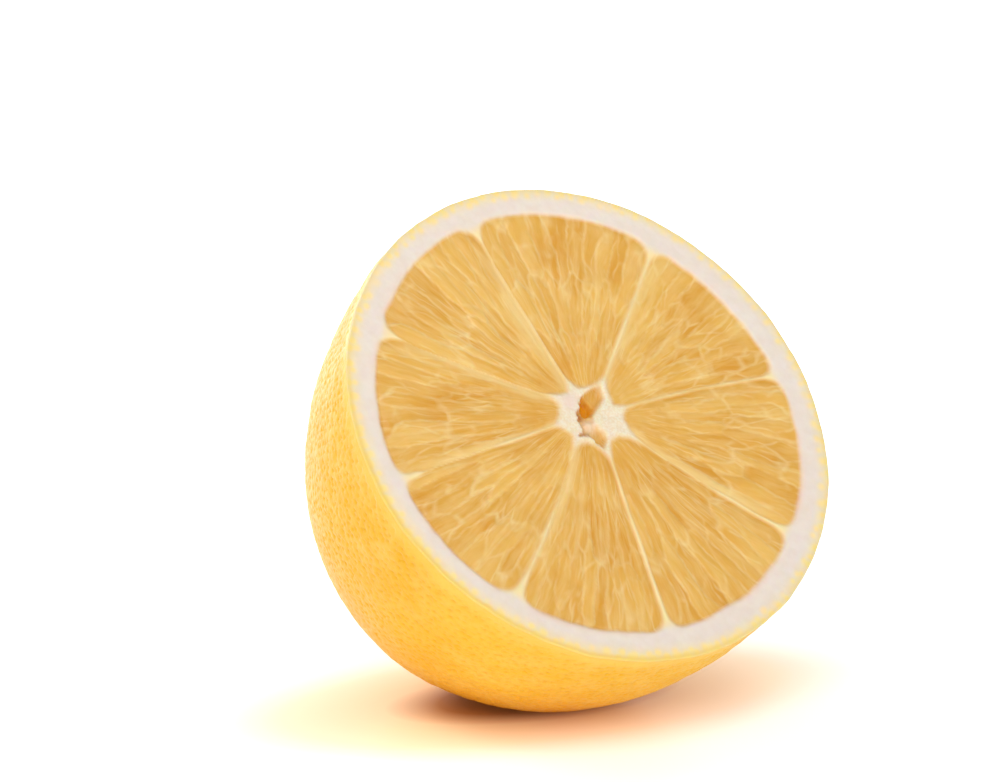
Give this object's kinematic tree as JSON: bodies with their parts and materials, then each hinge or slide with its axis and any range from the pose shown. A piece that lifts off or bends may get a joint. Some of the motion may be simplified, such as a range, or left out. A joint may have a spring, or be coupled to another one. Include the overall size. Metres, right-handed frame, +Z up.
{
  "type": "lemon half",
  "caption": "Half a lemon cut across the middle, lying tilted on its rind with the cut face turned up and the nipple at the back.",
  "frame": {"origin": "middle of the flat spot of rind that the half rests on", "axes": "+Z up; the cut face looks toward -Y and 36.5 degrees up, and the nipple points toward +Y and down; +X to the right seen from in front"},
  "size_m": [0.062, 0.0598, 0.0613],
  "materials": {
    "peel": "waxy yellow rind with fine oil-gland pores and a soft gloss",
    "pith": "cream-white spongy pith, matte, with yellow oil-gland dots at its outer edge",
    "pulp": "wet translucent amber juice vesicles with pale thin walls"
  },
  "bodies": {
    "root": {"lemon_half": "peel"}
  },
  "joints": []
}
